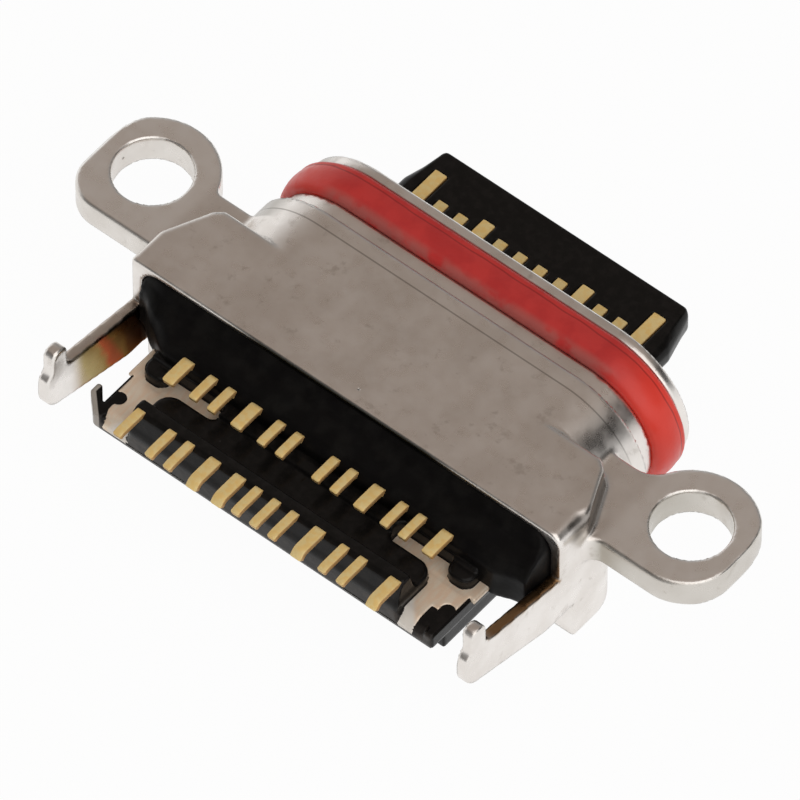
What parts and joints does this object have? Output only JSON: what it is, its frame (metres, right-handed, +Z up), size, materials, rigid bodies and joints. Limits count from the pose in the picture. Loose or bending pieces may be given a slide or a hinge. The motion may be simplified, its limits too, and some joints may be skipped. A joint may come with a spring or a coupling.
{
  "type": "charging port",
  "caption": "Sealed reversible charging port: moulded steel shell with screw ears and solder legs, red seal ring, black tongue and gold contacts that end in rows of solder tails.",
  "frame": {"origin": "midway between the two screw holes, on the ears' upper faces, which are the board plane", "axes": "+X along the row of screw holes, +Y towards the plug, +Z up to the board"},
  "size_m": [0.016, 0.0099, 0.0037],
  "materials": {
    "moulded_steel": "satin moulded stainless with fine pits",
    "red_silicone": "soft satin",
    "black_plastic": "glossy moulded",
    "plate_steel": "bare stamped sheet",
    "black_epoxy": "glossy, poured and uneven",
    "gold_plating": "satin gold flash"
  },
  "bodies": {
    "root": {"shell": "moulded_steel", "seal_ring": "red_silicone", "insulator": "black_plastic", "mid_plate": "plate_steel", "potting": "black_epoxy", "ground_pad_upper": "plate_steel", "ground_pad_lower": "plate_steel", "upper_contact_01": "gold_plating", "upper_contact_02": "gold_plating", "upper_contact_03": "gold_plating", "upper_contact_04": "gold_plating", "upper_contact_05": "gold_plating", "upper_contact_06": "gold_plating", "upper_contact_07": "gold_plating", "upper_contact_08": "gold_plating", "upper_contact_09": "gold_plating", "upper_contact_10": "gold_plating", "upper_contact_11": "gold_plating", "upper_contact_12": "gold_plating", "lower_contact_01": "gold_plating", "lower_contact_02": "gold_plating", "lower_contact_03": "gold_plating", "lower_contact_04": "gold_plating", "lower_contact_05": "gold_plating", "lower_contact_06": "gold_plating", "lower_contact_07": "gold_plating", "lower_contact_08": "gold_plating", "lower_contact_09": "gold_plating", "lower_contact_10": "gold_plating", "lower_contact_11": "gold_plating", "lower_contact_12": "gold_plating"}
  },
  "joints": []
}
